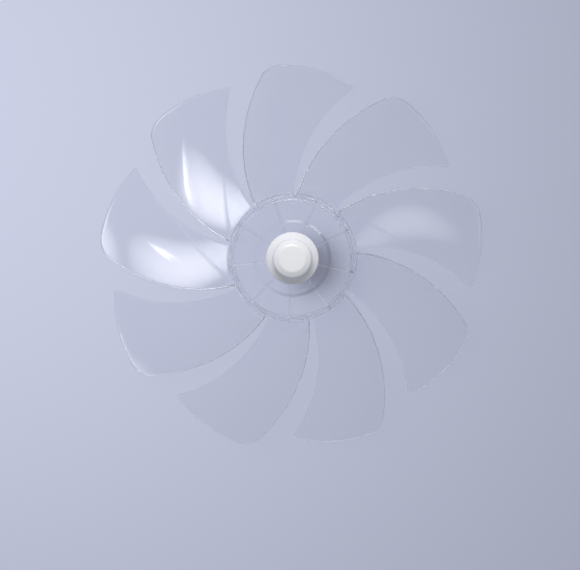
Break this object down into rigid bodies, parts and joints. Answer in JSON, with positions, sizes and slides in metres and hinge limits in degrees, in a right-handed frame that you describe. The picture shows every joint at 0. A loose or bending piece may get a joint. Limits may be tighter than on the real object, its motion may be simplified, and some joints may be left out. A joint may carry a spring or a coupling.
{
  "type": "fan blade",
  "caption": "Clear moulded axial fan blade: swept, twisted blades round a cupped hub, held on a motor shaft by a round white screw-on nut.",
  "frame": {"origin": "on the shaft axis, in the plane of the hub's rear rim, on which the part lies", "axes": "+Z along the shaft axis towards the front, where the nut is; +Y halfway between two blade roots; +X to the right seen from the front"},
  "size_m": [0.3465, 0.3451, 0.0583],
  "materials": {
    "clear_plastic": "clear polished moulding with a faint cool tint",
    "white_plastic": "glossy white moulding"
  },
  "bodies": {
    "root": {"fan_blade": "clear_plastic", "blade_nut": "white_plastic"}
  },
  "joints": []
}
